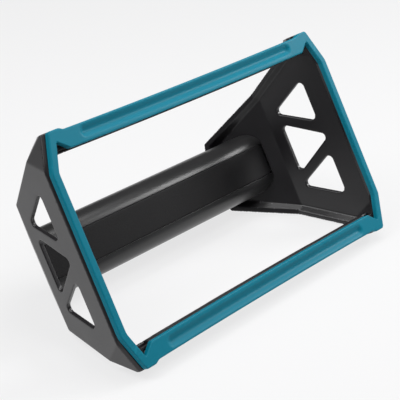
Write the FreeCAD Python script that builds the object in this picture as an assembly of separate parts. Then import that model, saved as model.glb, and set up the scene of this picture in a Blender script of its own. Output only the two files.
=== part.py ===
import FreeCAD
import Part
import math
import os

# A low parallette. X runs along the grip, Y across it and Z up from the floor, in millimetres.
# Two channel-shaped end legs hold a hollow grip, and two rails and a soft ring tie their feet together.

# Overall sizes
floor_length = 272.0            # between the legs' outer facets at the floor
foot_width = 150.0              # across the corner feet
grip_top = 95.0                 # crown of the grip above the floor
hood_rise = 5.0                 # highest point, the hoods over the grip's ends, above its crown

# End legs
facet_width = 103.6             # middle facet at the floor
corner_set_back = 9.0           # corner foot behind the middle facet
foot_edge = 7.0                 # upright edge of a corner foot
shoulder_height = 23.0          # where the corner facet ends on the leg's side
shoulder_draw = 11.5            # how far the side has come in by then
head_width = 41.2               # across the head's upper corners
head_crown = 160.0              # radius of the head's upper edge
bend_drop = 6.9                 # fold between the middle facet and the head, below the grip
bend_set_back = 15.0            # fold behind the facet's foot
bend_width = 84.0               # across the leg at the fold
head_lean = 36.0                # degrees that the head leans in from upright
leg_wall = 3.2
lip_wall = 2.4                  # lips along the leg's sides
lip_depth = 7.4                 # outer face to the lips' free edges, along X
lip_head_depth = 9.3            # the same at the hood's crown
lip_splay_share = 0.79          # lip's run outwards for each length along X
foot_depth = 20.0               # outer face to the foot's free edge
hood_share = 0.25               # hood's rise for each length inwards along X

# Truss windows in the middle facet
window_radius = 3.2
window_sill = 23.0
window_head = 7.6               # outer windows' upper corners below the fold
window_base = 32.7
window_offset = 28.3            # outer windows' middle from the leg's middle
middle_sill = 18.8
middle_head = 9.6              # middle window's upper edge below the fold
middle_base = 38.6

# Grip
grip_width = 45.0
grip_height = 27.5
grip_low_radius = 11.7
grip_shoulder_radius = 7.4
grip_dome = 40.0                # radius of the crown
grip_wall = 3.2
grip_seat_gap = 0.3             # shell's mitred end to the leg's head
grip_side_gap = 1.2             # shell's sides to the leg's lips
spigot_gap = 0.25               # leg's spigot inside the shell
spigot_wall = 2.6
spigot_length = 20.3            # past the head's inner face, at the screws' height

# Strip that closes the grip's underside
panel_lap = 0.5                 # strip's sides past the grip's flat underside
panel_plate = 2.0
panel_proud = 0.6
panel_edge = 0.9                # chamfer along its lower edges
panel_gap = 0.25
panel_end_gap = 2.6             # strip's ends short of the legs' heads
rebate = 3.5                    # strip's bearing on each side of the slot
clip_wall = 1.4
clip_rise = 4.2
clip_barb = 0.5
clip_barb_height = 1.2

# Grip screws, along X
grip_screw_inset = 9.5          # from the grip's side
grip_screw_depth = 13.7         # below the grip's crown
grip_screw_size = 4.0
grip_screw_length = 30.0
grip_screw_head = 7.6
grip_screw_head_height = 2.6
grip_screw_bury = 4.3           # seat past the inner face of the leg's head
screw_gap = 0.1
head_gap = 0.5
boss_wall = 2.2
boss_web = 4.0

# Rails
rail_top = 9.6
rail_width = 12.8
rail_inset = 1.6                # outer edge inside the corner feet
rail_bow = 0.8                  # drawn in towards the middle of its length
rail_set_back = 22.8            # end of the full section behind the leg's facet
rail_wall = 2.2
rail_bays = 6
rail_bay_rib = 2.0
rail_bay_end = 9.0              # solid stretch at each end
lap_gap = 0.2
lap_tab = 2.9                   # rail's tab under the leg's foot
lap_length = 8.6                # tab past the full section

# Screws that hold the rails' tabs up to the feet, along Z
rail_screw_size = 2.6
rail_screw_head = 5.2
rail_screw_head_height = 1.6
rail_screw_length = 8.0

# Soft ring under the legs and rails
sole_height = 3.5
sole_strip = 6.7                # width along the legs
sole_step = 1.8                 # narrower than the rails above it
sole_pad = 6.4                  # corner pad's width beside the foot's side
sole_edge = 0.7                 # chamfer round its lower edges
sole_foot_length = 11.0         # corner pad's outer edge
ledge = 3.0                     # leg's floor that the ring backs on to
cove_width = 6.6
cove_depth = 2.2
cove_set_back = 37.0            # groove's end behind the leg's facet
lug_gap = 0.25
peg_size = 2.6
peg_gap = 0.15
peg_edge = 0.6                  # ledge left inside each peg's hole
peg_spacing = 32.0

overrun = 5.0                   # how far cutting tools run past what they cut

floor_half = floor_length / 2
foot_half = foot_width / 2
facet_half = facet_width / 2
grip_underside = grip_top - grip_height
head_top = grip_top + hood_rise
bend_height = grip_underside - bend_drop
bend_x = floor_half - bend_set_back
facet_run = bend_set_back / bend_height
head_run = math.tan(math.radians(head_lean))
rail_outer = foot_half - rail_inset
rail_inner = rail_outer - rail_width
rail_end = floor_half - rail_set_back
sole_inner = rail_inner + sole_step
tab_outer = foot_half - lip_wall - lap_gap
lap_top = sole_height + lap_tab + lap_gap
panel_half = grip_width / 2 - grip_low_radius + panel_lap
slot_half = panel_half - rebate
grip_screw_y = grip_width / 2 - grip_screw_inset
grip_screw_z = grip_top - grip_screw_depth
part_names = []


def save(name, shape):
    """Write one piece as its own file."""
    shape.exportStep(os.path.join("parts", name + ".step"))
    part_names.append(name)


def point(x, y, z):
    return FreeCAD.Vector(x, y, z)


def polygon_face(points):
    return Part.Face(Part.makePolygon(points + points[:1]))


def box(low, high):
    """Box between two corners."""
    size = high - low
    return Part.makeBox(size.x, size.y, size.z, low)


def rod(radius, start, end):
    return Part.makeCylinder(radius, (end - start).Length, start, end - start)


def mirror_x(shape):
    return shape.mirror(point(0, 0, 0), point(1, 0, 0))


def mirror_y(shape):
    return shape.mirror(point(0, 0, 0), point(0, 1, 0))


def both_sides(shape):
    """A piece on the +Y side together with its mirror image."""
    return shape.fuse(mirror_y(shape))


def half_space(origin, normal):
    """Everything near the part that lies past a plane."""
    side = floor_length
    plate = Part.makePlane(side * 2, side * 2, point(-side, -side, 0))
    solid = plate.extrude(point(0, 0, side))
    solid.Placement = FreeCAD.Placement(origin, FreeCAD.Rotation(point(0, 0, 1), normal))
    return solid


def rounded_face(corners, radius):
    """Face of a polygon whose corners are rounded to one radius."""
    edges = []
    last = None
    first = None
    count = len(corners)
    for place in range(count):
        corner = corners[place]
        back = (corners[place - 1] - corner).normalize()
        ahead = (corners[(place + 1) % count] - corner).normalize()
        half = back.getAngle(ahead) / 2
        start = corner + back * (radius / math.tan(half))
        end = corner + ahead * (radius / math.tan(half))
        inward = (back + ahead).normalize()
        middle = corner + inward * (radius / math.sin(half) - radius)
        if last is not None:
            edges.append(Part.makeLine(last, start))
        else:
            first = start
        edges.append(Part.Arc(start, middle, end).toShape())
        last = end
    edges.append(Part.makeLine(last, first))
    return Part.Face(Part.Wire(edges))


def facet_x(height, inset):
    """Outer X of the middle facet at a height, moved in by a wall."""
    return bend_x - (height - bend_height) * facet_run - inset * math.hypot(1, facet_run)


def head_x(height, inset):
    """Outer X of the leaning head at a height, moved in by a wall."""
    return bend_x - (height - bend_height) * head_run - inset * math.hypot(1, head_run)


def leg_slab(inset, depth):
    """Folded slab between the leg's outer face, moved in by a wall, and a copy further in."""
    turn = math.hypot(1, head_run) - math.hypot(1, facet_run)
    fold = bend_height - inset * turn / (head_run - facet_run)
    top = head_top + overrun
    outer = [
        point(facet_x(0, inset), -foot_half, 0),
        point(facet_x(fold, inset), -foot_half, fold),
        point(head_x(top, inset), -foot_half, top),
    ]
    inner = [corner - point(depth, 0, 0) for corner in reversed(outer)]
    return polygon_face(outer + inner).extrude(point(0, foot_width, 0))


def lip_reach(height):
    """Outer face to the free edge of the head's lips, along X, at a height."""
    return lip_depth + (lip_head_depth - lip_depth) * (height - bend_height) / (head_top - bend_height)


def leg_body():
    """Folded slab between the leg's outer face and its free edges, which are furthest in at the foot."""
    top = head_top + overrun
    outer = [
        point(facet_x(0, 0), -foot_half, 0),
        point(bend_x, -foot_half, bend_height),
        point(head_x(top, 0), -foot_half, top),
    ]
    edge = [
        outer[2] - point(lip_reach(top), 0, 0),
        outer[1] - point(lip_depth, 0, 0),
        point(facet_x(shoulder_height, lip_depth), -foot_half, shoulder_height),
        point(facet_x(rail_top, foot_depth), -foot_half, rail_top),
        outer[0] - point(foot_depth, 0, 0),
    ]
    return polygon_face(outer + edge).extrude(point(0, foot_width, 0))


def crown_z(across, inset):
    """Height of the hood above X = 0, at a distance across the leg, moved in by a wall."""
    edge_x = head_x(head_top, 0) - lip_head_depth
    sag = head_crown - math.sqrt(head_crown ** 2 - across ** 2)
    return head_top - sag - inset + edge_x * hood_share


def head_corner():
    """Where the leg's side meets its crown on the outer face."""
    across = head_width / 2
    drop = (bend_x + bend_height * head_run) * hood_share
    height = (crown_z(across, 0) - drop) / (1 - hood_share * head_run)
    return point(head_x(height, 0), across, height)


def flip_y(points):
    """Mirror image of an outline's points, in the order that carries the outline on."""
    return [point(corner.x, -corner.y, corner.z) for corner in reversed(points)]


def leg_envelope(inset):
    """Widest outline of the leg under its hood's crown, which sinks towards the outer face."""
    half = foot_half - inset
    right = [point(0, half, -floor_half), point(0, half, crown_z(half, inset))]
    left = flip_y(right)
    edges = [
        Part.makeLine(right[0], right[1]),
        Part.Arc(right[1], point(0, 0, crown_z(0, inset)), left[0]).toShape(),
        Part.makeLine(left[0], left[1]),
        Part.makeLine(left[1], right[0]),
    ]
    reach = floor_half + overrun
    return Part.Face(Part.Wire(edges)).extrude(point(reach, 0, -reach * hood_share))


def side_planes(inset):
    """Splayed planes of the leg's side on the +Y side, moved in by a wall."""
    shoulder = point(facet_x(shoulder_height, 0), foot_half - shoulder_draw, shoulder_height)
    bend = point(bend_x, bend_width / 2, bend_height)
    corner = head_corner()
    origin, normal = corner_plane(0)
    foot = point(0, foot_half, foot_edge)
    foot.x = ((origin - foot) * normal) / normal.x
    splay = point(-1, lip_splay_share, 0)
    planes = []
    for start, end in ((foot, shoulder), (shoulder, bend), (bend, corner)):
        outward = splay.cross(end - start).normalize()
        planes.append((start - outward * inset, outward))
    return planes


def corner_plane(inset):
    """Plane of the corner facet on the +Y side, as a point and an outward normal."""
    start = point(floor_half, facet_half, 0)
    corner = point(floor_half - corner_set_back, foot_half, 0)
    shoulder = point(facet_x(shoulder_height, 0), foot_half - shoulder_draw, shoulder_height)
    normal = (corner - start).cross(shoulder - start).normalize()
    return start - normal * inset, normal


def strip_line():
    """Inner edge of the ring along a leg: its bend, and its end beside the foot, on the +Y side."""
    start = point(floor_half, facet_half, 0)
    corner = point(floor_half - corner_set_back, foot_half, 0)
    along = (corner - start).normalize()
    inward = point(-along.y, along.x, 0)
    base = start + inward * sole_strip
    bend_step = (base.x - (floor_half - sole_strip)) / -along.x
    end_step = (foot_half - sole_pad - base.y) / along.y
    return base + along * bend_step, base + along * end_step


def grip_face(inset, x):
    """Grip's section at X, moved in by a wall: flat underside, round sides and a domed crown."""
    half = grip_width / 2 - inset
    low = grip_low_radius - inset
    shoulder = grip_shoulder_radius - inset
    dome = grip_dome - inset
    bottom = grip_underside + inset
    dome_z = grip_top - grip_dome
    shoulder_y = half - shoulder
    shoulder_z = dome_z + math.sqrt((dome - shoulder) ** 2 - shoulder_y ** 2)
    turn = math.atan2(shoulder_y, shoulder_z - dome_z)
    low_z = bottom + low

    def on_low(angle):
        return point(x, half - low + low * math.cos(angle), low_z - low * math.sin(angle))

    def on_shoulder(angle):
        return point(x, shoulder_y + shoulder * math.sin(angle), shoulder_z + shoulder * math.cos(angle))

    def flip(place):
        return point(x, -place.y, place.z)

    upright = math.pi / 2
    low_start = on_low(upright)
    low_end = on_low(0)
    side_end = on_shoulder(upright)
    dome_start = on_shoulder(turn)
    low_middle = on_low(upright / 2)
    shoulder_middle = on_shoulder((upright + turn) / 2)
    edges = [
        Part.makeLine(flip(low_start), low_start),
        Part.Arc(low_start, low_middle, low_end).toShape(),
        Part.makeLine(low_end, side_end),
        Part.Arc(side_end, shoulder_middle, dome_start).toShape(),
        Part.Arc(dome_start, point(x, 0, dome_z + dome), flip(dome_start)).toShape(),
        Part.Arc(flip(dome_start), flip(shoulder_middle), flip(side_end)).toShape(),
        Part.makeLine(flip(side_end), flip(low_end)),
        Part.Arc(flip(low_end), flip(low_middle), flip(low_start)).toShape(),
    ]
    return Part.Face(Part.Wire(edges))


def grip_bar(inset, start, end):
    return grip_face(inset, start).extrude(point(end - start, 0, 0))


def between_heads(shape, gap):
    """Trim a bar along X to the inner faces of both leaning heads, less a gap."""
    normal = point(1, 0, head_run)
    origin = point(head_x(grip_underside, leg_wall + gap), 0, grip_underside)
    beyond = half_space(origin, normal)
    return shape.cut(beyond).cut(mirror_x(beyond))


def window_faces():
    """The three truss windows, in the plane X = 0."""
    top = bend_height - window_head
    middle_top = bend_height - middle_head
    half = window_base / 2
    outer = [
        point(0, window_offset - half, window_sill),
        point(0, window_offset + half, window_sill),
        point(0, window_offset, top),
    ]
    middle = [
        point(0, middle_base / 2, middle_top),
        point(0, -middle_base / 2, middle_top),
        point(0, 0, middle_sill),
    ]
    return [rounded_face(corners, window_radius) for corners in (outer, flip_y(outer), middle)]


def leg_shell():
    """Leg's folded shell: facets, splayed lips, a hood, windows and a floor ledge for the ring."""
    envelope = leg_envelope(0)
    for plane in [corner_plane(0)] + side_planes(0):
        envelope = envelope.cut(both_sides(half_space(*plane)))
    shell = leg_body().common(envelope)
    hollow_slab = leg_slab(leg_wall, floor_half)
    hollow = hollow_slab.common(leg_envelope(lip_wall)).common(box(
        point(0, -foot_half, sole_height + ledge),
        point(floor_half, foot_half, head_top),
    ))
    for plane in [corner_plane(leg_wall)] + side_planes(lip_wall):
        hollow = hollow.cut(both_sides(half_space(*plane)))
    shell = shell.cut(hollow)
    shell = shell.cut(hollow_slab.common(grip_bar(-grip_side_gap, 0, floor_half)))
    bend, end = strip_line()
    inner = [bend, end, point(0, end.y, 0)]
    opening = polygon_face(inner + flip_y(inner))
    shell = shell.cut(opening.extrude(point(0, 0, sole_height + ledge)))
    below = box(point(0, -foot_half, -overrun), point(floor_half, foot_half, sole_height))
    shell = shell.cut(below)
    for face in window_faces():
        shell = shell.cut(face.extrude(point(floor_half, 0, 0)))
    return shell, envelope


def foot_lap(envelope):
    """Solid lap and screw boss that a corner foot lays on the rail's tab, on the +Y side."""
    reach = rail_end + lap_length + lap_gap
    low = point(rail_end + lap_gap, rail_inner, lap_top)
    high = point(reach, foot_half - lip_wall / 2, rail_top)
    place = rail_screw_place()
    screw = point(place.x, place.y, lap_top)
    rise = rail_screw_length - rail_screw_head_height - lap_tab + boss_wall
    boss = rod(rail_screw_size / 2 + boss_wall, screw, screw + point(0, 0, rise))
    lap = box(low, high).fuse(boss).common(envelope)
    pocket = box(point(0, 0, -overrun), point(reach, tab_outer + lap_gap, lap_top))
    beside = point(rail_end + lap_gap, rail_outer + lap_gap, rail_top + lap_gap)
    pocket = pocket.fuse(box(point(0, 0, -overrun), beside))
    depth = point(0, 0, rail_screw_length - lap_tab)
    pilot = rod(rail_screw_size / 2 + screw_gap, screw - point(0, 0, overrun), screw + depth)
    return lap, pocket, pilot


def rail_screw_place():
    """Where the screw stands under the rail's tab, on the +X and +Y side."""
    return point(rail_end + lap_length / 2, (sole_inner + tab_outer) / 2, sole_height)


def screw_face():
    """X of the inner face of the leg's head at the height of the grip's screws."""
    return head_x(grip_screw_z, leg_wall)


def grip_spigot():
    """Hollow spigot on the leg's head that the grip slides over, with tubes for its screws."""
    inset = grip_wall + spigot_gap
    spigot_reach = screw_face() - spigot_length
    behind = leg_slab(leg_wall / 2, floor_half)
    inside = leg_slab(leg_wall, floor_half)
    outer = grip_bar(inset, spigot_reach, floor_half)
    spigot = outer.cut(grip_bar(inset + spigot_wall, 0, floor_half).common(inside))
    holes = []
    for side in (-1, 1):
        start = point(spigot_reach, side * grip_screw_y, grip_screw_z)
        end = point(floor_half, start.y, start.z)
        seat = point(screw_face() - grip_screw_bury, start.y, start.z)
        bore = grip_screw_head / 2 + head_gap
        spigot = spigot.fuse(rod(bore + boss_wall, start, end).common(outer))
        holes.append(rod(grip_screw_size / 2 + head_gap, start - point(overrun, 0, 0), end))
        holes.append(rod(bore, seat, end))
    return spigot.common(behind), holes


def leg():
    """The leg on the +X side."""
    shell, envelope = leg_shell()
    lap, pocket, pilot = foot_lap(envelope)
    spigot, holes = grip_spigot()
    body = shell.cut(both_sides(pocket)).fuse(both_sides(lap)).fuse(spigot)
    body = body.cut(both_sides(pilot))
    for hole in holes:
        body = body.cut(hole)
    for hole in pegs(peg_gap):
        body = body.cut(hole)
    return body.removeSplitter()


def pegs(gap):
    """The ring's square pegs in the ledge of the leg on the +X side, with a gap all round."""
    middle = floor_half - sole_strip + peg_edge + peg_gap + peg_size / 2
    half = peg_size / 2 + gap
    low = sole_height - lug_gap
    high = low + ledge - peg_gap + gap
    places = [place * peg_spacing for place in (-1, 0, 1)]
    return [box(point(middle - half, y - half, low), point(middle + half, y + half, high)) for y in places]


def bowed_face(outer, inner, reach, height):
    """Plan of a rail: two edges bowed alike towards the middle of the part, on the +Y side."""
    edges = [
        Part.Arc(
            point(-reach, outer, height),
            point(0, outer - rail_bow, height),
            point(reach, outer, height),
        ).toShape(),
        Part.makeLine(point(reach, outer, height), point(reach, inner, height)),
        Part.Arc(
            point(reach, inner, height),
            point(0, inner - rail_bow, height),
            point(-reach, inner, height),
        ).toShape(),
        Part.makeLine(point(-reach, inner, height), point(-reach, outer, height)),
    ]
    return Part.Face(Part.Wire(edges))


def bay_places():
    """Start and end along X of each open bay under a rail."""
    reach = rail_end - rail_bay_end
    pitch = (2 * reach + rail_bay_rib) / rail_bays
    starts = [-reach + pitch * place for place in range(rail_bays)]
    return [(start, start + pitch - rail_bay_rib) for start in starts]


def bay_slabs(gap, low, high):
    """Bays under a rail, less a gap all round, between two heights."""
    plan = bowed_face(rail_outer - rail_wall - gap, sole_inner + rail_wall + gap, rail_end, low)
    strip = plan.extrude(point(0, 0, high - low))
    slabs = []
    for start, end in bay_places():
        window = box(point(start + gap, 0, low), point(end - gap, foot_half, high))
        slabs.append(strip.common(window))
    return slabs


def rail():
    """The rail on the +Y side: a channel with cross ribs below, and tabs under both feet."""
    body = bowed_face(rail_outer, rail_inner, rail_end, sole_height)
    body = body.extrude(point(0, 0, rail_top - sole_height))
    for bay in bay_slabs(0, sole_height, rail_top - rail_wall):
        body = body.cut(bay)
    tab = box(
        point(rail_end - rail_wall, sole_inner, sole_height),
        point(rail_end + lap_length, tab_outer, sole_height + lap_tab),
    )
    tab = tab.cut(half_space(*corner_plane(leg_wall + lap_gap)))
    body = body.fuse(tab).fuse(mirror_x(tab))
    low = rail_screw_place()
    sunk = low + point(0, 0, rail_screw_head_height)
    through = point(0, 0, lap_tab + overrun)
    hole = rod(rail_screw_size / 2 + screw_gap, low, low + through)
    hole = hole.fuse(rod(rail_screw_head / 2 + screw_gap, low - point(0, 0, overrun), sunk))
    return body.cut(hole).cut(mirror_x(hole)).removeSplitter()


def ring_wire(corner_points, rail_edge):
    """Closed plan outline through each quarter's points, with a bowed edge along each rail."""
    right = flip_y(corner_points) + corner_points
    left = [point(-corner.x, -corner.y, 0) for corner in right]
    bow_y = rail_edge - rail_bow
    edges = [Part.makeLine(a, b) for a, b in zip(right, right[1:])]
    edges.append(Part.Arc(right[-1], point(0, bow_y, 0), left[0]).toShape())
    edges += [Part.makeLine(a, b) for a, b in zip(left, left[1:])]
    edges.append(Part.Arc(left[-1], point(0, -bow_y, 0), right[0]).toShape())
    return Part.Wire(edges)


def flared_prism(wire, flare):
    """Prism of a plan outline up to the ring's height, whose lower edge is set out by a flare."""
    foot = Part.Face(wire).makeOffset2D(flare, 2).OuterWire
    rim = wire.translated(point(0, 0, sole_edge))
    skirt = Part.makeLoft([foot, rim], True, True)
    return skirt.fuse(Part.Face(rim).extrude(point(0, 0, sole_height - sole_edge)))


def cove(side):
    """Long rounded groove under one rail's stretch of the ring, bowed like it, with round ends."""
    radius = (cove_width ** 2 / 4 + cove_depth ** 2) / (2 * cove_depth)
    middle = (rail_outer + sole_inner) / 2
    height = cove_depth - radius
    cove_reach = floor_half - cove_set_back

    def on_line(x):
        bow = rail_bow * (1 - (x / rail_end) ** 2)
        return point(x, side * (middle - bow), height)

    start = on_line(-cove_reach)
    end = on_line(cove_reach)
    line = Part.Arc(start, on_line(0), end).toShape()
    section = Part.Face(Part.Wire(Part.makeCircle(radius, start, line.tangentAt(line.FirstParameter))))
    groove = Part.Wire([line]).makePipe(section)
    return groove.fuse([Part.makeSphere(radius, start), Part.makeSphere(radius, end)])


def sole_ring():
    """Soft ring under the legs' edges and the rails, keyed into both."""
    foot_inner = floor_half - corner_set_back - sole_foot_length
    outer = [
        point(floor_half, facet_half, 0),
        point(floor_half - corner_set_back, foot_half, 0),
        point(foot_inner, foot_half, 0),
        point(rail_end, rail_outer, 0),
    ]
    bend, end = strip_line()
    inner = [bend, end, point(rail_end, sole_inner, 0)]
    ring = flared_prism(ring_wire(outer, rail_outer), -sole_edge)
    ring = ring.cut(flared_prism(ring_wire(inner, sole_inner), sole_edge))
    ring = ring.cut([cove(side) for side in (-1, 1)])
    for bay in bay_slabs(lug_gap, sole_height - lug_gap, rail_top - rail_wall - lug_gap):
        ring = ring.fuse(bay).fuse(mirror_y(bay))
    for peg in pegs(0):
        ring = ring.fuse(peg).fuse(mirror_x(peg))
    return ring.removeSplitter()


def grip_shell():
    """Hollow grip with mitred ends, inner screw bosses and a rebated slot along its underside."""
    reach = floor_half
    body = grip_bar(0, -reach, reach).cut(grip_bar(grip_wall, -reach, reach))
    inner = grip_bar(grip_wall / 2, -reach, reach)
    boss_reach = screw_face() - spigot_length - grip_seat_gap
    pilot_end = screw_face() - grip_screw_bury - grip_screw_length - overrun
    for side in (-1, 1):
        axis = side * grip_screw_y
        start = point(-boss_reach, axis, grip_screw_z)
        boss = rod(grip_screw_size / 2 + boss_wall, start, point(boss_reach, axis, start.z))
        web = box(
            point(-boss_reach, min(axis, side * grip_width / 2), start.z - boss_web / 2),
            point(boss_reach, max(axis, side * grip_width / 2), start.z + boss_web / 2),
        )
        body = body.fuse(boss).fuse(web.common(inner))
        for end in (-1, 1):
            mouth = point(end * reach, axis, start.z)
            bottom = point(end * pilot_end, axis, start.z)
            body = body.cut(rod(grip_screw_size / 2 + screw_gap, bottom, mouth))
    half = panel_half + panel_gap
    seat = box(
        point(-reach, -half, grip_underside - overrun),
        point(reach, half, grip_underside + panel_plate - panel_proud + panel_gap),
    )
    slot = box(
        point(-reach, -slot_half, grip_underside - overrun),
        point(reach, slot_half, grip_underside + grip_wall),
    )
    body = body.cut(seat).cut(slot)
    return between_heads(body, grip_seat_gap).removeSplitter()


def grip_panel():
    """Strip that snaps into the grip's slot: a chamfered plate with two barbed ribs."""
    bottom = grip_underside - panel_proud
    top = bottom + panel_plate
    plate = [
        point(0, -panel_half, top),
        point(0, -panel_half, bottom + panel_edge),
        point(0, -panel_half + panel_edge, bottom),
        point(0, panel_half - panel_edge, bottom),
        point(0, panel_half, bottom + panel_edge),
        point(0, panel_half, top),
    ]
    rib_outer = slot_half - panel_gap
    barb_low = grip_underside + grip_wall + panel_gap
    barb_outer = rib_outer + panel_gap + clip_barb
    rib = [
        point(0, rib_outer - clip_wall, top - panel_plate / 2),
        point(0, rib_outer, top - panel_plate / 2),
        point(0, rib_outer, barb_low),
        point(0, barb_outer, barb_low),
        point(0, rib_outer, barb_low + clip_barb_height),
        point(0, rib_outer - clip_wall, top + clip_rise),
    ]
    reach = floor_half
    along = point(2 * reach, 0, 0)
    body = polygon_face(plate).extrude(along)
    clip = polygon_face(rib).extrude(along)
    body = body.fuse(both_sides(clip))
    body.translate(point(-reach, 0, 0))
    body = between_heads(body, panel_end_gap)
    spigots = box(
        point(screw_face() - spigot_length - panel_end_gap, -panel_half, top),
        point(reach, panel_half, top + clip_rise + overrun),
    )
    return body.cut(spigots).cut(mirror_x(spigots)).removeSplitter()


def screw(size, length, head, head_height, seat, direction):
    """Pan-headed screw whose head rests on a seat, with its shank along a direction."""
    shank = rod(size / 2, seat, seat + direction * length)
    return shank.fuse(rod(head / 2, seat, seat - direction * head_height)).removeSplitter()


def save_screws():
    """Two screws at each end of the grip, and one at each corner foot."""
    for end_name, end in (("left", -1), ("right", 1)):
        for side_name, side in (("front", -1), ("rear", 1)):
            seat = point(end * (screw_face() - grip_screw_bury), side * grip_screw_y, grip_screw_z)
            shape = screw(
                grip_screw_size, grip_screw_length, grip_screw_head,
                grip_screw_head_height, seat, point(-end, 0, 0),
            )
            save("grip_screw_" + end_name + "_" + side_name, shape)
            place = rail_screw_place()
            seat = point(end * place.x, side * place.y, place.z + rail_screw_head_height)
            shape = screw(
                rail_screw_size, rail_screw_length - rail_screw_head_height, rail_screw_head,
                rail_screw_head_height, seat, point(0, 0, 1),
            )
            save("rail_screw_" + end_name + "_" + side_name, shape)


os.makedirs("parts", exist_ok=True)
right_leg = leg()
save("leg_right", right_leg)
save("leg_left", mirror_x(right_leg))
rear_rail = rail()
save("rail_rear", rear_rail)
save("rail_front", mirror_y(rear_rail))
save("sole_ring", sole_ring())
save("grip_shell", grip_shell())
save("grip_panel", grip_panel())
save_screws()
print("pieces:", len(part_names))
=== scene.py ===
import bmesh
import bpy
import numpy as np
from mathutils import Matrix, Vector


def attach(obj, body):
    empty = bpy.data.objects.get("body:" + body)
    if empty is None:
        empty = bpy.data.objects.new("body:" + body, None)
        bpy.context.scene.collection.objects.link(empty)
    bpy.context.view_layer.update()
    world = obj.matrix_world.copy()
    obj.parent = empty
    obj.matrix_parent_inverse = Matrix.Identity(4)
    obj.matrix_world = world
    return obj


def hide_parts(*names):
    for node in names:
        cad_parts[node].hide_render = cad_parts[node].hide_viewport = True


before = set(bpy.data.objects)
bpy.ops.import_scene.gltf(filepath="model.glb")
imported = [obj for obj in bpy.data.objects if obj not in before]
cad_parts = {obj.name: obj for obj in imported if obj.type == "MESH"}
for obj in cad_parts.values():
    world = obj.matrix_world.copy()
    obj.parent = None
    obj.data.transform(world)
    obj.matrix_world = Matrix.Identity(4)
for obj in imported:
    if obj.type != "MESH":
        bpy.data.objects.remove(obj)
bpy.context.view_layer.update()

# The viewpoint: the frame lies on its rear side, and the camera looks at its underside
# from 0.87 m away, through a lens of 121.5 mm on a 36 mm square sensor.
camera_place = (-0.61777, -0.06107, -0.60855)
to_right = Vector((0.64819, 0.37923, -0.66033))
to_top = Vector((0.31992, -0.92255, -0.21578))
to_back = to_right.cross(to_top)
camera_data = bpy.data.cameras.new("viewpoint")
camera_data.lens = 121.5
camera_data.sensor_width = 36.0
camera_data.clip_start = 0.01
camera = bpy.data.objects.new("viewpoint", camera_data)
bpy.context.scene.collection.objects.link(camera)
camera_turn = Matrix((to_right, to_top, to_back)).transposed().to_4x4()
camera.matrix_world = Matrix.Translation(camera_place) @ camera_turn
bpy.context.scene.camera = camera
bpy.context.scene.view_settings.view_transform = "Standard"

# The studio: a white sweep under the side that the frame lies on, three soft boxes to the right,
# to the left and overhead, and a dim room that looks white to the camera.
upward = Vector((0.0, -0.8547, -0.5193))
sweep_height, sweep_reach = -0.0731, 2.0
paper_white = (0.75, 0.75, 0.75, 1)
paper_glow, glow_share = (0.93, 0.93, 0.935, 1), 0.8
room_white = (0.91, 0.91, 0.915, 1)
room_levels = ((0.0, 0.12), (0.5, 0.1), (0.6, 0.12), (0.8, 0.16), (1.0, 0.2))
lamp_aim = Vector((0, 0, 0.03))
overhead_place = upward * 0.6 + Vector((0.08, 0, -0.05))


class Finish:
    """One socket of a node tree. Sums and products of sockets add Math nodes."""

    def __init__(self, tree, socket=None):
        self.tree = tree
        self.socket = socket

    def node(self, kind, settings=None, sockets=None, out=0):
        """Add a node: its settings are set first, then its sockets get values or links."""
        made = self.tree.nodes.new(kind)
        for name, value in (settings or {}).items():
            if name == "stops":
                ramp = made.color_ramp.elements
                while len(ramp) < len(value):
                    ramp.new(1.0)
                for stop, (place, shade) in zip(ramp, value):
                    stop.position = place
                    stop.color = shade
            else:
                setattr(made, name, value)
        for key, value in (sockets or {}).items():
            if isinstance(value, Finish):
                self.tree.links.new(value.socket, made.inputs[key])
            else:
                made.inputs[key].default_value = value
        return Finish(self.tree, made.outputs[out] if made.outputs else None)

    def __add__(self, other):
        return self.node("ShaderNodeMath", {"operation": "ADD"}, {0: self, 1: other})

    __radd__ = __add__

    def __mul__(self, other):
        return self.node("ShaderNodeMath", {"operation": "MULTIPLY"}, {0: self, 1: other})


def new_finish(name):
    """Material with an empty node tree, and a Finish to add nodes with."""
    made = bpy.data.materials.new(name)
    made.use_nodes = True
    made.node_tree.nodes.clear()
    return made, Finish(made.node_tree)


def grid_quads(rows, columns, close_rows, close_columns):
    """Corner numbers of the quads of a grid, whose rows and columns close into rings or stay open."""
    i = np.arange(rows if close_rows else rows - 1)[:, None]
    j = np.arange(columns if close_columns else columns - 1)[None, :]
    i2, j2 = (i + 1) % rows, (j + 1) % columns
    quads = np.stack([i * columns + j, i * columns + j2, i2 * columns + j2, i2 * columns + j], -1)
    return quads.reshape(-1, 4)


def add_piece(name, mesh):
    """Object of a mesh, at the origin."""
    piece = bpy.data.objects.new(name, mesh)
    bpy.context.scene.collection.objects.link(piece)
    return piece


def sweep_grid():
    """Square grid in the plane that the frame lies on: centre plus steps along X and across it."""
    along = np.array([1.0, 0, 0])
    across = np.array(Vector((1, 0, 0)).cross(upward))
    step = np.linspace(-sweep_reach, sweep_reach, 3)
    a, b = np.meshgrid(step, step, indexing="ij")
    centre = np.array(upward) * sweep_height
    return centre + a[..., None] * along + b[..., None] * across


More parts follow.
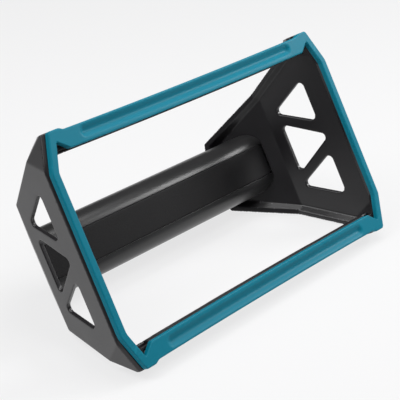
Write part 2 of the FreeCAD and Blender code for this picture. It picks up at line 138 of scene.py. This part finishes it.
sweep_points = sweep_grid()
sweep_mesh = bpy.data.meshes.new("sweep")
sweep_mesh.from_pydata(sweep_points.reshape(-1, 3), [], grid_quads(*sweep_points.shape[:2], False, False))
sweep = add_piece("sweep", sweep_mesh)
sweep.visible_shadow = False
sweep_paper, paper = new_finish("sweep_paper")
seen = paper.node("ShaderNodeLightPath", out="Is Camera Ray")
glossy = paper.node("ShaderNodeLightPath", out="Is Glossy Ray")
through = paper.node("ShaderNodeLightPath", out="Is Transmission Ray")
behind = paper.node("ShaderNodeNewGeometry", out="Backfacing")
lit = paper.node("ShaderNodeBsdfDiffuse", {}, {"Color": paper_white})
glow = paper.node("ShaderNodeEmission", {}, {"Color": paper_glow})
front = paper.node("ShaderNodeMixShader", {}, {0: seen * glow_share + glossy + through, 1: lit, 2: glow})
clear = paper.node("ShaderNodeBsdfTransparent")
whole = paper.node("ShaderNodeMixShader", {}, {0: behind * seen, 1: front, 2: clear})
paper.node("ShaderNodeOutputMaterial", {}, {"Surface": whole})
sweep_paper.cycles.emission_sampling = "NONE"
sweep.data.materials.append(sweep_paper)

room = bpy.data.worlds.new("room")
bpy.context.scene.world = room
room.use_nodes = True
room.node_tree.nodes.clear()
air = Finish(room.node_tree)
direction = air.node("ShaderNodeTexCoord", out="Generated")
height = air.node("ShaderNodeVectorMath", {"operation": "DOT_PRODUCT"}, {
    0: direction, 1: upward}, out="Value")
stops = [(place, (grey, grey, grey, 1)) for place, grey in room_levels]
level = air.node("ShaderNodeValToRGB", {"stops": stops}, {0: height * 0.5 + 0.5})
dim = air.node("ShaderNodeBackground", {}, {"Color": level})
white = air.node("ShaderNodeBackground", {}, {"Color": room_white})
direct = air.node("ShaderNodeLightPath", out="Is Camera Ray")
sky = air.node("ShaderNodeMixShader", {}, {0: direct, 1: dim, 2: white})
air.node("ShaderNodeOutputWorld", {}, {"Surface": sky})


def soft_box(name, place, size, power):
    """Square area lamp at a place, turned to face the object."""
    data = bpy.data.lights.new(name, "AREA")
    data.shape = "SQUARE"
    data.size = size
    data.energy = power
    lamp = bpy.data.objects.new(name, data)
    lamp.location = place
    lamp.rotation_euler = (lamp_aim - Vector(place)).to_track_quat("-Z", "Y").to_euler()
    lamp.visible_camera = False
    bpy.context.scene.collection.objects.link(lamp)


soft_box("right_box", (0.98, -0.32, -0.66), size=0.4, power=9.5)
soft_box("left_box", (-0.72, -0.95, -0.2), size=0.6, power=8.0)
soft_box("overhead_box", overhead_place, size=0.5, power=3.2)

# The two end legs: folded shells of black filled plastic, injection moulded in one shot with their
# windows, splayed lips and spigots. An etched mould gives them a fine satin grain and eased edges,
# and a bevel runs along their bottom edges, above the sole.
leg_cell, leg_passes, leg_keep = 0.00035, 16, 0.32
weld_distance = 1e-6
sill_height, sill_margin = 0.0050, 0.0008
facet_lean = 0.2475
facet_normal = np.array([1.0, 0.0])
corner_normal = np.array([0.932, 0.3625])
plastic_black = (0.0055, 0.0047, 0.0062, 1)
# Paler grey of the sharp edges: partly rubbed wear, partly a painted highlight.
plastic_wear_and_highlight = (0.11, 0.107, 0.112, 1)
leg_rough, leg_gloss = 0.28, 0.58


def eased_copy(name, node, cell, passes, keep):
    """Copy of a frame node with every edge eased: its triangles are merged and rebuilt as a net of
    even cells, each point moves half way to the mean of its neighbours, several times, and the
    flattest triangles are then joined until a share of them is left."""
    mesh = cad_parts[node].data.copy()
    work = bmesh.new()
    work.from_mesh(mesh)
    bmesh.ops.remove_doubles(work, verts=work.verts, dist=weld_distance)
    work.to_mesh(mesh)
    work.free()
    piece = add_piece(name, mesh)
    net = piece.modifiers.new("net", "REMESH")
    net.mode = "VOXEL"
    net.voxel_size = cell
    net.use_smooth_shade = True
    ease = piece.modifiers.new("ease", "SMOOTH")
    ease.factor = 0.5
    ease.iterations = passes
    thin = piece.modifiers.new("thin", "DECIMATE")
    thin.ratio = keep
    shaped = piece.evaluated_get(bpy.context.evaluated_depsgraph_get())
    piece.data = bpy.data.meshes.new_from_object(shaped)
    piece.modifiers.clear()
    return piece


def bevel_sill(piece):
    """Bevel along a leg's bottom edge. Below sill_height, points near the outside are squeezed in
    along the level normal of the middle or the corner facets, so that the outside comes to lean in
    at 45 degrees."""
    points = np.empty(len(piece.data.vertices) * 3, np.float32)
    piece.data.vertices.foreach_get("co", points)
    points = points.reshape(-1, 3)
    height = points[:, 2]
    depth = np.maximum(sill_height - height, 0)
    squeeze = 1 - sill_margin / (sill_margin + depth * (1 + facet_lean))
    for normal in (facet_normal, corner_normal):
        out = np.sign(points[:, :2]) * normal
        reach = np.sum(points[:, :2] * out, axis=1)
        edge = reach[np.abs(height - sill_height) < leg_cell].max()
        past = np.maximum(reach - (edge - depth - sill_margin), 0)
        points[:, :2] -= (past * squeeze)[:, None] * out
    piece.data.vertices.foreach_set("co", points.ravel())
    return piece


def moulded_black(name, rough, gloss):
    """Black plastic from an etched mould: fine grain, cloudy gloss, and paler along sharp edges, as rubbed
    wear and as a painted highlight.
    """
    made, skin = new_finish(name)
    place = skin.node("ShaderNodeTexCoord", out="Object")
    etch = skin.node("ShaderNodeTexNoise", {}, {"Vector": place, "Scale": 1500.0, "Detail": 3.0}, out="Fac")
    cloud = skin.node("ShaderNodeTexNoise", {}, {"Vector": place, "Scale": 55.0, "Detail": 4.0}, out="Fac")
    crest = skin.node("ShaderNodeNewGeometry", out="Pointiness")
    # Painted highlight: sharp edges are mixed towards a paler grey, standing in for light caught by their
    # rounding, with some rubbed wear.
    painted_edge_highlight = skin.node("ShaderNodeMapRange", {}, {
        "Value": crest, "From Min": 0.52, "From Max": 0.6, "To Min": 0.0, "To Max": 0.55}, out="Result")
    tint = skin.node("ShaderNodeMix", {"data_type": "RGBA"}, {
        0: painted_edge_highlight * (cloud + 0.3), 6: plastic_black, 7: plastic_wear_and_highlight}, out=2)
    grain = skin.node("ShaderNodeBump", {}, {"Height": etch, "Strength": 0.22, "Distance": 0.00008})
    shell = skin.node("ShaderNodeBsdfPrincipled", {}, {
        "Base Color": tint, "Roughness": rough + cloud * 0.1 + etch * 0.05, "Specular IOR Level": gloss,
        "Normal": grain})
    skin.node("ShaderNodeOutputMaterial", {}, {"Surface": shell})
    return made


def fit(piece, node, finish):
    """Give a piece its finish, and let it stand for a frame node."""
    piece.data.materials.clear()
    piece.data.materials.append(finish)
    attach(piece, "root")
    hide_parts(node)


leg_plastic = moulded_black("leg_plastic", leg_rough, leg_gloss)
for side in ("left", "right"):
    leg = eased_copy("end_leg_" + side, "leg_" + side, leg_cell, leg_passes, leg_keep)
    fit(bevel_sill(leg), "leg_" + side, leg_plastic)

# The two rails: upturned channels of the same black plastic with cross ribs below, whose end tabs
# lie under the legs' corner feet. Their mould has the same etched grain, worn to a duller gloss.
rail_cell, rail_passes, rail_keep = 0.0005, 8, 1.0
rail_rough, rail_gloss = 0.55, 0.3
rail_plastic = moulded_black("rail_plastic", rail_rough, rail_gloss)
for side in ("front", "rear"):
    rail = eased_copy("floor_rail_" + side, "rail_" + side, rail_cell, rail_passes, rail_keep)
    fit(rail, "rail_" + side, rail_plastic)

# Eight pan-headed screws of black zinc-plated steel with a cross recess and a coarse rolled thread:
# one up through each rail's tab, here, and two along the grip at each of its ends, further down.
# Sizes from here on are in millimetres: thread, length, head and head's height of a screw.
millimetre = 0.001
rail_screw_sizes = (2.6, 6.4, 5.2, 1.6)
rail_screw_x, rail_screw_y, rail_screw_z = 117.5, 67.4, 5.1
screw_columns, head_rows, shank_rows = 72, 26, 160
dome_share, brim_share, brim_power = 0.3, 0.45, 12
arm_share, arm_edge, arm_slope = 0.085, 1.25, 4
recess_share, recess_edge, recess_slope = 0.33, 1.05, 6
recess_depth_share = 0.62
pitch_share, ridge_share, core_share = 0.36, 0.42, 0.74
neck_share, neck_start, tip_share = 0.5, 0.4, 0.06
crisp_angle = 0.7
zinc_dark, zinc_pale = (0.035, 0.035, 0.037, 1), (0.075, 0.075, 0.08, 1)


def closed_mesh(name, grids):
    """One mesh of several grids whose columns close into loops. A grid's rows either close into a
    ring as well, or end in a flat face at both ends. Edges sharper than 40 degrees stay crisp."""
    points, faces, first = [], [], 0
    for grid, ring in grids:
        rows, columns = grid.shape[:2]
        faces += (grid_quads(rows, columns, ring, True) + first).tolist()
        if not ring:
            faces.append((first + np.arange(columns)[::-1]).tolist())
            faces.append((first + (rows - 1) * columns + np.arange(columns)).tolist())
        points.append(grid.reshape(-1, 3))
        first += rows * columns
    mesh = bpy.data.meshes.new(name)
    mesh.from_pydata(np.concatenate(points) * millimetre, [], faces)
    work = bmesh.new()
    work.from_mesh(mesh)
    bmesh.ops.recalc_face_normals(work, faces=work.faces)
    work.to_mesh(mesh)
    work.free()
    mesh.shade_smooth()
    mesh.set_sharp_from_angle(angle=crisp_angle)
    return mesh


def screw_grid(seat, along, size, length, head, head_height):
    """Surface turned about the screw's axis. Across the crowned head the height is a shallow dome less
    a cross-shaped recess; the shank's radius is its core plus a ridge that climbs one pitch a turn."""
    turn = np.linspace(0, 2 * np.pi, screw_columns, endpoint=False)[None, :]
    radius = np.linspace(0.02, 1.0, head_rows)[:, None] * head / 2
    out = 2 * radius / head
    dome = head_height * (1 - dome_share * out ** 2 - brim_share * out ** brim_power)
    x, y = radius * np.cos(turn), radius * np.sin(turn)
    arm = np.minimum(np.abs(x), np.abs(y)) / (arm_share * head)
    reach = radius / (recess_share * head)
    recess = np.clip((arm_edge - arm) * arm_slope, 0, 1) * np.clip((recess_edge - reach) * recess_slope, 0, 1)
    crown_height = dome - recess_depth_share * head_height * recess
    crown_radius = radius + 0 * turn
    step = np.linspace(0, length, shank_rows)[:, None]
    phase = (step / (pitch_share * size) - turn / (2 * np.pi)) % 1.0
    ridge = np.clip(1 - np.abs(phase - 0.5) / ridge_share, 0, 1)
    taper = np.clip((length - step) / size, tip_share, 1)
    neck = np.clip(step / (neck_share * size) - neck_start, 0, 1)
    thread = core_share + (1 - core_share) * np.maximum(ridge * neck, 1 - neck)
    shank = size / 2 * taper * thread
    heights = np.concatenate([crown_height, 0 * turn, -step + 0 * turn])
    radii = np.concatenate([crown_radius, head / 2 + 0 * turn, shank])
    along = np.array(along, float)
    beside = np.roll(along, 1)
    across = np.cross(along, beside)
    swing = np.cos(turn)[..., None] * beside + np.sin(turn)[..., None] * across
    return np.array(seat) + radii[..., None] * swing - heights[..., None] * along


screw_steel, plate = new_finish("screw_steel")
place = plate.node("ShaderNodeTexCoord", out="Object")
haze = plate.node("ShaderNodeTexNoise", {}, {"Vector": place, "Scale": 900.0, "Detail": 5.0}, out="Fac")
dulled = plate.node("ShaderNodeMix", {"data_type": "RGBA"}, {0: haze, 6: zinc_dark, 7: zinc_pale}, out=2)
ripple = plate.node("ShaderNodeBump", {}, {"Height": haze, "Strength": 0.12, "Distance": 0.00004})
zinc = plate.node("ShaderNodeBsdfPrincipled", {}, {
    "Base Color": dulled, "Metallic": 1.0, "Roughness": 0.3 + haze * 0.25, "Normal": ripple})
plate.node("ShaderNodeOutputMaterial", {}, {"Surface": zinc})


def add_screw(node, seat, along, sizes):
    """Threaded screw that stands for a frame node."""
    mesh = closed_mesh(node + "_threaded", [(screw_grid(seat, along, *sizes), False)])
    fit(add_piece(node + "_threaded", mesh), node, screw_steel)


for end_name, end in (("left", -1), ("right", 1)):
    for side_name, side in (("front", -1), ("rear", 1)):
        seat = (end * rail_screw_x, side * rail_screw_y, rail_screw_z)
        add_screw("rail_screw_" + end_name + "_" + side_name, seat, (0, 0, 1), rail_screw_sizes)

# The sole: one soft ring of teal thermoplastic rubber, moulded with a rounded groove under each rail
# and pressed up under the legs and rails, where its lugs and pegs hold in their bays and holes.
sole_height, sole_round, side_step = 3.5, 0.9, 1.2
rail_half, rail_middle, rail_bow = 113.2, 67.9, 0.8
outer_corners = np.array([(133.5, 0), (133.5, 51.34), (124.34, 75), (116, 75), (rail_half, 73.4)])
inner_corners = np.array([(128.3, 0), (128.3, 50.4), (121.5, 67.9), (115.0, 62.9), (rail_half, 61.4)])
run_steps, rail_steps = (74, 36, 16, 6), 165
corner_soften, mean_reach = 1.7, 8
round_steps, flat_steps = 7, 27
cove_half, cove_depth, cove_reach = 4.6, 2.0, 98.2
underside_level = 0.4
post_foot, post_round, post_power = 3.0, 0.5, 0.25
post_columns, post_rows = 40, 6
bay_count, bay_first, bay_pitch = 6, -104.2, 35.0667
lug_start, lug_end = 0.25, 32.8
lug_inside, lug_outside, lug_top = 64.85, 70.95, 7.15
peg_rows, peg_half, peg_top = (-32, 0, 32), 1.3, 6.1
peg_inside, peg_outside = 130.05, 132.65
# The paler teal is both random tone, mixed in by noise, and a painted highlight along the sharp edges.
sole_teal, sole_tone_and_highlight = (0.0, 0.158, 0.23, 1), (0.005, 0.22, 0.31, 1)


def quarter_line(corners):
    """Quarter outline: straight runs between corners, and a last run that bows in to the middle."""
    runs = [a + (b - a) * np.linspace(0, 1, count, endpoint=False)[:, None]
            for a, b, count in zip(corners[:-1], corners[1:], run_steps)]
    x = np.linspace(corners[-1][0], 0, rail_steps)
    y = corners[-1][1] - rail_bow * (1 - (x / corners[-1][0]) ** 2)
    return np.concatenate(runs + [np.stack([x, y], -1)])


def whole_line(quarter):
    """Closed outline of four mirrored quarters, with its corners rounded by a running mean
    whose weights fall off as a bell curve."""
    mirrored = quarter[::-1][1:]
    half = np.concatenate([quarter, mirrored * (-1, 1)])
    line = np.concatenate([half, half[::-1][1:-1] * (1, -1)])
    reach = np.arange(-mean_reach, mean_reach + 1)
    weight = np.exp(-0.5 * (reach / corner_soften) ** 2)
    moved = np.stack([np.roll(line, r, axis=0) for r in reach])
    return np.tensordot(weight / weight.sum(), moved, 1)


def sole_grid():
    """Section carried round the ring: upright sides, quarter-round lower edges, and a flat underside that
    rises along each rail into a trough, whose depth falls off from its middle line as a squared cosine."""
    outer = whole_line(quarter_line(outer_corners))
    inner = whole_line(quarter_line(inner_corners))
    width = np.linalg.norm(inner - outer, axis=1)[:, None]
    turn = np.linspace(0, np.pi / 2, round_steps)
    edge = sole_round * (1 - np.cos(turn))
    rise = sole_round * (1 - np.sin(turn))
    flat = np.linspace(0, 1, flat_steps)[1:-1]
    left = np.concatenate([np.zeros((len(width), 2)), edge + 0 * width], axis=1)
    middle = sole_round + (width - 2 * sole_round) * flat
    right = width - left[:, ::-1]
    offset = np.concatenate([left, middle, right], axis=1)
    side = np.concatenate([[sole_height, sole_height - side_step], rise])
    height = np.concatenate([side, 0 * flat, side[::-1]])[None, :] + 0 * offset
    share = (offset / width)[..., None]
    plan = outer[:, None, :] * (1 - share) + inner[:, None, :] * share
    x, y = np.abs(plan[..., 0]), np.abs(plan[..., 1])
    line = rail_middle - rail_bow * (1 - np.minimum(x / rail_half, 1) ** 2)
    far = np.hypot(np.maximum(x - cove_reach, 0), y - line)
    trough = cove_depth * np.cos(np.pi / 2 * np.minimum(far / cove_half, 1)) ** 2
    height = np.where(height < underside_level, np.maximum(height, trough), height)
    return np.concatenate([plan, height[..., None]], axis=-1)


def post_grid(x0, x1, y0, y1, top, bow):
    """Upright block with rounded corners and a rounded top: a superellipse of power 8, drawn in
    by a quarter circle near its top, and bowed along X like the rails."""
    turn = np.linspace(0, 2 * np.pi, post_columns, endpoint=False)[None, :]
    lean = np.linspace(0, np.pi / 2, post_rows)[:, None]
    draw = np.concatenate([[[0.0]], post_round * (1 - np.cos(lean))])
    z = np.concatenate([[[post_foot]], top - post_round + post_round * np.sin(lean)])
    cosine, sine = np.cos(turn), np.sin(turn)
    x = (x0 + x1) / 2 + ((x1 - x0) / 2 - draw) * np.sign(cosine) * np.abs(cosine) ** post_power
    y = (y0 + y1) / 2 + ((y1 - y0) / 2 - draw) * np.sign(sine) * np.abs(sine) ** post_power
    y = y - np.sign(y) * bow * (1 - (x / rail_half) ** 2)
    return np.stack([x, y, z + 0 * turn], -1)


sole_grids = [(sole_grid(), True)]
for side in (-1, 1):
    low, high = sorted((side * lug_inside, side * lug_outside))
    for bay in range(bay_count):
        start = bay_first + bay_pitch * bay
        lug = post_grid(start + lug_start, start + lug_end, low, high, lug_top, rail_bow)
        sole_grids.append((lug, False))
    low, high = sorted((side * peg_inside, side * peg_outside))
    for row in peg_rows:
        peg = post_grid(low, high, row - peg_half, row + peg_half, peg_top, 0.0)
        sole_grids.append((peg, False))

sole_rubber, rubber = new_finish("sole_rubber")
place = rubber.node("ShaderNodeTexCoord", out="Object")
bloom = rubber.node("ShaderNodeTexNoise", {}, {"Vector": place, "Scale": 45.0, "Detail": 5.0}, out="Fac")
pore = rubber.node("ShaderNodeTexNoise", {}, {"Vector": place, "Scale": 1900.0, "Detail": 2.0}, out="Fac")
crest = rubber.node("ShaderNodeNewGeometry", out="Pointiness")
# Painted highlight: the ring's sharp edges are mixed towards a paler teal, standing in for light caught by
# their rounding; the noise adds random tone.
painted_edge_highlight = rubber.node("ShaderNodeMapRange", {}, {
    "Value": crest, "From Min": 0.51, "From Max": 0.58, "To Min": 0.0, "To Max": 0.5}, out="Result")
tint = rubber.node("ShaderNodeMix", {"data_type": "RGBA"}, {
    0: painted_edge_highlight + bloom * 0.12, 6: sole_teal, 7: sole_tone_and_highlight}, out=2)
grain = rubber.node("ShaderNodeBump", {}, {"Height": pore, "Strength": 0.08, "Distance": 0.00006})
soft = rubber.node("ShaderNodeBsdfPrincipled", {}, {
    "Base Color": tint, "Roughness": 0.43 + bloom * 0.12, "Specular IOR Level": 0.16, "Normal": grain})
rubber.node("ShaderNodeOutputMaterial", {}, {"Surface": soft})
sole = add_piece("sole_grooved", closed_mesh("sole_grooved", sole_grids))
fit(sole, "sole_ring", sole_rubber)

# The grip: a hollow shell of smooth black plastic with mitred ends, which slides over both legs'
# spigots. Two screw bosses run along inside it, and a rebated slot along its underside takes the strip.
grip_end, mitre_run, bend_height = 116.674, 0.72654, 60.6
grip_wall = 3.2
low_y, low_z, low_radius, low_steps = 10.8, 79.2, 11.7, 30
shoulder_y, shoulder_z, shoulder_radius, shoulder_steps = 15.1, 83.892, 7.4, 22
dome_z, dome_radius, dome_start, dome_steps = 55, 40, 1.0892, 14
slot_angle, lip_ease, ease_steps = -1.46, 0.2, 6
slot_corners = ((7.8, 70.7), (7.8, 69.15), (11.55, 69.15), (11.55, 67.52))
end_round, end_draw = 0.5, 0.35
end_shares = np.array([0, 0.16, 0.5, 1])
boss_y, boss_z, boss_radius, boss_end = 13.0, 81.3, 4.2, 81.4
web_reach, web_half = 7.9, 2.0
pilot_radius, pilot_end, pilot_tip_share = 2.1, 62.7, 0.05
boss_columns = 96
tiny = 1e-6
grip_black, grip_streak = (0.012, 0.0118, 0.0124, 1), (0.019, 0.0188, 0.0196, 1)


def mitre_x(height, end):
    """X of the leg's leaning head at a height, for a piece that stops short of it."""
    return end - mitre_run * (height - bend_height)


def arc(y, z, radius, start, end, count):
    """Points of a section on a circle, from one angle to another."""
    angle = np.linspace(start, end, count)
    return np.stack([y + radius * np.cos(angle), z + radius * np.sin(angle)], -1)


def eased_corners(corners, reach):
    """Chain of points in which each corner but the two ends gives way to a parabola, which starts
    and ends a reach away from the corner on the lines to its neighbours."""
    before, corner, after = corners[:-2], corners[1:-1], corners[2:]
    back = before - corner
    ahead = after - corner
    start = corner + back / np.linalg.norm(back, axis=1)[:, None] * reach
    end = corner + ahead / np.linalg.norm(ahead, axis=1)[:, None] * reach
    t = np.linspace(0, 1, ease_steps)[None, :, None]
    curve = (1 - t) ** 2 * start[:, None] + 2 * t * (1 - t) * corner[:, None] + t ** 2 * end[:, None]
    return curve.reshape(-1, 2)


def grip_chain(inset, low_start):
    """Half of the grip's section, from its underside round its side and over to its crown."""
    low = arc(low_y, low_z, low_radius - inset, low_start, 0, low_steps)
    shoulder = arc(shoulder_y, shoulder_z, shoulder_radius - inset, 0, dome_start, shoulder_steps)
    dome = arc(0, dome_z, dome_radius - inset, dome_start, np.pi / 2, dome_steps)[1:]
    return np.concatenate([low, shoulder, dome])


def shell_section():
    """Closed section of the shell: outside, the slot's lips on both sides, and inside."""
    outside = grip_chain(0, slot_angle)
    inside = grip_chain(grip_wall, -np.pi / 2)
    lips = eased_corners(np.array([inside[0], *slot_corners, outside[0]]), lip_ease)
    half = np.concatenate([inside[::-1], lips, outside])
    return np.concatenate([half, half[-2:0:-1] * (-1, 1)])


def inset_loop(loop, amount):
    """Closed loop moved in by an amount along the normals of its chords."""
    chord = np.roll(loop, -1, axis=0) - np.roll(loop, 1, axis=0)
    chord = chord / np.maximum(np.linalg.norm(chord, axis=1), tiny)[:, None]
    area = np.sum(loop[:, 0] * np.roll(loop[:, 1], -1) - np.roll(loop[:, 0], -1) * loop[:, 1])
    return loop + np.sign(area) * amount * np.stack([-chord[:, 1], chord[:, 0]], -1)


def shell_grid():
    """Section carried straight along X between both mitres, drawn in a little at its ends
    along a quarter of an ellipse."""
    section = shell_section()
    draw = end_draw * (1 - np.sqrt(1 - (1 - end_shares) ** 2))
    loops = np.stack([inset_loop(section, d) for d in draw])
    x = mitre_x(loops[..., 1], grip_end) - (end_round * end_shares)[:, None]
    right = np.concatenate([x[..., None], loops], axis=-1)
    return np.concatenate([right * (-1, 1, 1), right[::-1]])


def boss_grid(side):
    """Screw boss inside the shell: a round bar with a web to the wall, as one radius for each
    angle about the screw's axis, and a pilot hole sunk into both of its ends."""
    turn = np.linspace(-np.pi, np.pi, boss_columns, endpoint=False)
    cosine, sine = np.cos(turn), np.sin(turn)
    web = np.minimum(web_reach / np.maximum(cosine, tiny), web_half / np.maximum(np.abs(sine), tiny))
    bar = np.where(cosine > 0, np.maximum(web, boss_radius), boss_radius)
    hole = np.full_like(turn, pilot_radius)
    ends = np.array([pilot_end, pilot_end, boss_end, boss_end])
    x = np.concatenate([-ends, ends[::-1]])[:, None]
    radii = np.stack([pilot_tip_share * hole, hole, hole, bar])
    radius = np.concatenate([radii, radii[::-1]])
    y = side * (boss_y + radius * cosine)
    return np.stack([x + 0 * y, y, boss_z + radius * sine], -1)


grip_plastic, gloss = new_finish("grip_plastic")
place = gloss.node("ShaderNodeTexCoord", out="Object")
flow = gloss.node("ShaderNodeMapping", {}, {"Vector": place, "Scale": (0.12, 1.0, 1.0)})
streak = gloss.node("ShaderNodeTexNoise", {}, {"Vector": flow, "Scale": 260.0, "Detail": 4.0}, out="Fac")
orange = gloss.node("ShaderNodeTexNoise", {}, {"Vector": place, "Scale": 700.0, "Detail": 2.0}, out="Fac")
tint = gloss.node("ShaderNodeMix", {"data_type": "RGBA"}, {0: streak, 6: grip_black, 7: grip_streak}, out=2)
grain = gloss.node("ShaderNodeBump", {}, {
    "Height": orange + streak * 0.6, "Strength": 0.1, "Distance": 0.00008})
smooth = gloss.node("ShaderNodeBsdfPrincipled", {}, {
    "Base Color": tint, "Roughness": 0.32 + streak * 0.1, "Specular IOR Level": 0.5, "Normal": grain})
gloss.node("ShaderNodeOutputMaterial", {}, {"Surface": smooth})
shell_grids = [(shell_grid(), False), (boss_grid(-1), False), (boss_grid(1), False)]
grip = add_piece("grip_hollow", closed_mesh("grip_hollow", shell_grids))
fit(grip, "grip_shell", grip_plastic)

# The strip that closes the grip's slot: a plate of matte black plastic with a coarse etched grain and
# rounded edges, held by two barbed ribs that snap past the slot's lips.
strip_end = 113.83
strip_half, strip_low, strip_high = 11.5, 66.9, 68.9
strip_round, strip_corner, flat_inset = 0.8, 3.0, 2.0
edge_steps, strip_steps, corner_steps = 8, 24, 16
rib_end = 79.1
rib_section = np.array([(6.15, 67.9), (7.55, 67.9), (7.55, 70.95), (8.3, 70.95), (7.55, 72.15), (6.15, 73.1)])
strip_dark, strip_spark = (0.004, 0.0038, 0.0043, 1), (0.013, 0.0125, 0.0135, 1)


def strip_grid():
    """Plate's section carried along X. Near each end its half width shrinks along a quarter circle of
    strip_corner, and its underside rises along one of strip_round."""
    half = strip_half
    edge_y, edge_z = half - strip_round, strip_low + strip_round
    flat = np.linspace(-half + flat_inset, half - flat_inset, strip_steps)
    section = np.concatenate([
        np.array([(-half, strip_high)]),
        arc(-edge_y, edge_z, strip_round, np.pi, 1.5 * np.pi, edge_steps),
        np.stack([flat, np.full(strip_steps, strip_low)], -1),
        arc(edge_y, edge_z, strip_round, 1.5 * np.pi, 2 * np.pi, edge_steps),
        np.array([(half, strip_high)]),
    ])
    short = strip_corner * (1 - np.cos(np.linspace(0, np.pi / 2, corner_steps)))[:, None]
    draw = strip_corner - np.sqrt(strip_corner ** 2 - (strip_corner - short) ** 2)
    near = np.maximum(strip_round - short, 0)
    lift = strip_round - np.sqrt(strip_round ** 2 - near ** 2)
    y = section[:, 0] * (half - draw) / half
    under = (strip_high - section[:, 1]) / (strip_high - strip_low)
    z = section[:, 1] + lift * under
    x = mitre_x(strip_low, strip_end) - short + 0 * y
    right = np.stack([x, y, z], -1)
    return np.concatenate([right * (-1, 1, 1), right[::-1]])


def rib_grid(side):
    """Barbed rib along the strip: its section carried straight between the two spigots."""
    x = np.array([-rib_end, rib_end])[:, None]
    y = side * rib_section[:, 0] + 0 * x
    return np.stack([x + 0 * y, y, rib_section[:, 1] + 0 * x], -1)


panel_plastic, matte = new_finish("panel_plastic")
place = matte.node("ShaderNodeTexCoord", out="Object")
spark = matte.node("ShaderNodeTexNoise", {}, {
    "Vector": place, "Scale": 900.0, "Detail": 3.0, "Roughness": 0.65}, out="Fac")
cloud = matte.node("ShaderNodeTexNoise", {}, {"Vector": place, "Scale": 60.0, "Detail": 3.0}, out="Fac")
tint = matte.node("ShaderNodeMix", {"data_type": "RGBA"}, {0: spark, 6: strip_dark, 7: strip_spark}, out=2)
grain = matte.node("ShaderNodeBump", {}, {"Height": spark, "Strength": 0.5, "Distance": 0.0002})
etched = matte.node("ShaderNodeBsdfPrincipled", {}, {
    "Base Color": tint, "Roughness": 0.44 + spark * 0.12 + cloud * 0.05, "Specular IOR Level": 0.14,
    "Normal": grain})
matte.node("ShaderNodeOutputMaterial", {}, {"Surface": etched})
strip_grids = [(strip_grid(), False), (rib_grid(-1), False), (rib_grid(1), False)]
strip = add_piece("grip_strip", closed_mesh("grip_strip", strip_grids))
fit(strip, "grip_panel", panel_plastic)

# The grip's four screws, of the same black zinc-plated steel as the rails': each runs from a
# counterbore in a leg's head, through its spigot, into a boss inside the shell.
grip_screw_sizes = (4.0, 30.0, 7.6, 2.6)
grip_screw_x = 97.706
for end_name, end in (("left", -1), ("right", 1)):
    for side_name, side in (("front", -1), ("rear", 1)):
        seat = (end * grip_screw_x, side * boss_y, boss_z)
        add_screw("grip_screw_" + end_name + "_" + side_name, seat, (-end, 0, 0), grip_screw_sizes)
